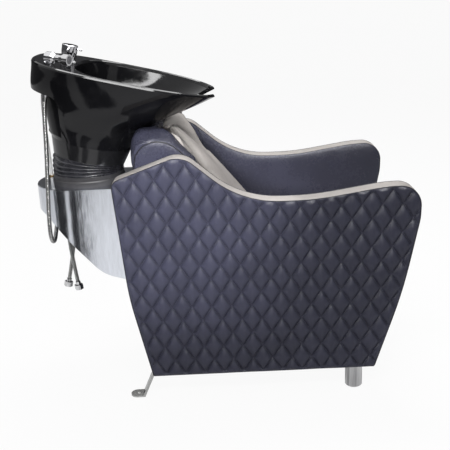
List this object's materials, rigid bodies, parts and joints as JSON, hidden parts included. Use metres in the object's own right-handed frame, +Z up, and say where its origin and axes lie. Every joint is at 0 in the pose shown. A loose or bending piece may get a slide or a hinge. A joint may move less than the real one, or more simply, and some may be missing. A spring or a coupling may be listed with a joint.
{
  "type": "shampoo chair",
  "caption": "Upholstered wash chair with quilted sides, joined to a tilting basin on a ribbed neck over a steel shell with its plumbing, lever mixer and pull-out shower.",
  "frame": {"origin": "on the floor, midway between the two floor bolt holes of the rear feet", "axes": "+X forward to the sitter's feet, +Y to the sitter's left, +Z up"},
  "size_m": [1.1307, 0.62, 1.0419],
  "materials": {
    "navy_leather": "matt, soft grain",
    "taupe_leather": "satin, smooth",
    "plywood": "sanded",
    "frame_paint": "matt black powder coat",
    "leg_chrome": "polished",
    "foot_steel": "zinc plated",
    "shell_steel": "polished stainless",
    "ring_plastic": "matt",
    "bellows_rubber": "satin",
    "collar_plastic": "gloss",
    "bowl_glaze": "high gloss black",
    "neck_rubber": "matt",
    "tap_chrome": "polished",
    "shower_plastic": "bright plated",
    "shower_grey": "matt",
    "hose_metal": "polished spiral",
    "hose_braid": "woven",
    "hose_white": "satin",
    "hose_black": "matt",
    "pipe_plastic": "matt",
    "pivot_steel": "plain",
    "washer_nylon": "plain",
    "nut_brass": "plain"
  },
  "bodies": {
    "chair": {"arm_band_left": "taupe_leather", "arm_band_right": "taupe_leather", "arm_core_left": "plywood", "arm_core_right": "plywood", "arm_inner_left": "navy_leather", "arm_inner_right": "navy_leather", "back_board": "plywood", "back_cushion": "taupe_leather", "back_roll": "navy_leather", "base_ring": "ring_plastic", "bellows": "bellows_rubber", "bowl_arm_left": "frame_paint", "bowl_arm_right": "frame_paint", "frame_cross_front": "frame_paint", "frame_cross_rear": "frame_paint", "frame_rail_left": "frame_paint", "frame_rail_right": "frame_paint", "frame_upright_left": "frame_paint", "frame_upright_right": "frame_paint", "friction_washers": "washer_nylon", "front_apron": "navy_leather", "front_leg_left": "leg_chrome", "front_leg_right": "leg_chrome", "hose_union": "nut_brass", "leg_plate_left": "frame_paint", "leg_plate_right": "frame_paint", "mixer_tails": "hose_braid", "outlet_hose": "hose_white", "rear_cover": "navy_leather", "rear_foot_left": "foot_steel", "rear_foot_right": "foot_steel", "seat_board": "plywood", "seat_cushion": "taupe_leather", "shower_hose": "hose_metal", "side_panel_left": "navy_leather", "side_panel_right": "navy_leather", "steel_shell": "shell_steel", "supply_hose_cold": "hose_braid", "supply_hose_hot": "hose_braid", "supply_nut_cold": "leg_chrome", "supply_nut_hot": "leg_chrome", "tilt_fork": "pivot_steel", "tilt_pins": "pivot_steel", "top_plate": "shell_steel", "waste_bracket": "frame_paint", "waste_hose": "hose_black", "waste_pipe": "pipe_plastic"},
    "bowl_unit": {"bowl": "bowl_glaze", "tilt_cradle": "pivot_steel", "collar": "collar_plastic", "drain_strainer": "tap_chrome", "drain_tailpiece": "pipe_plastic", "neck_rest": "neck_rubber", "mixer_body": "tap_chrome", "mixer_nut": "nut_brass", "shower_holder": "tap_chrome"},
    "mixer_cap": {"lever_cap": "tap_chrome"},
    "mixer_lever": {"lever_pin": "tap_chrome"},
    "shower": {"hand_shower": "shower_plastic", "shower_face": "shower_grey"}
  },
  "joints": [
    {"name": "bowl_tilt", "type": "hinge", "parent": "chair", "child": "bowl_unit", "pos_m": [-0.131, 0, 0.672], "axis": [0, 1, 0], "range_deg": [-18, 0], "deforming": ["bellows", "waste_hose", "shower_hose", "outlet_hose", "mixer_tails"]},
    {"name": "lever_turn", "type": "hinge", "parent": "bowl_unit", "child": "mixer_cap", "pos_m": [-0.1531, 0, 1.0272], "axis": [0.2351, 0, 0.972], "range_deg": [-45, 45]},
    {"name": "lever_lift", "type": "hinge", "parent": "mixer_cap", "child": "mixer_lever", "pos_m": [-0.1531, 0, 1.0272], "axis": [0, -1, 0], "range_deg": [0, 25]},
    {"name": "shower_pull", "type": "slide", "parent": "bowl_unit", "child": "shower", "axis": [0.8859, -0.4515, -0.1068], "range_m": [0, 0.018], "deforming": ["shower_hose"]}
  ]
}
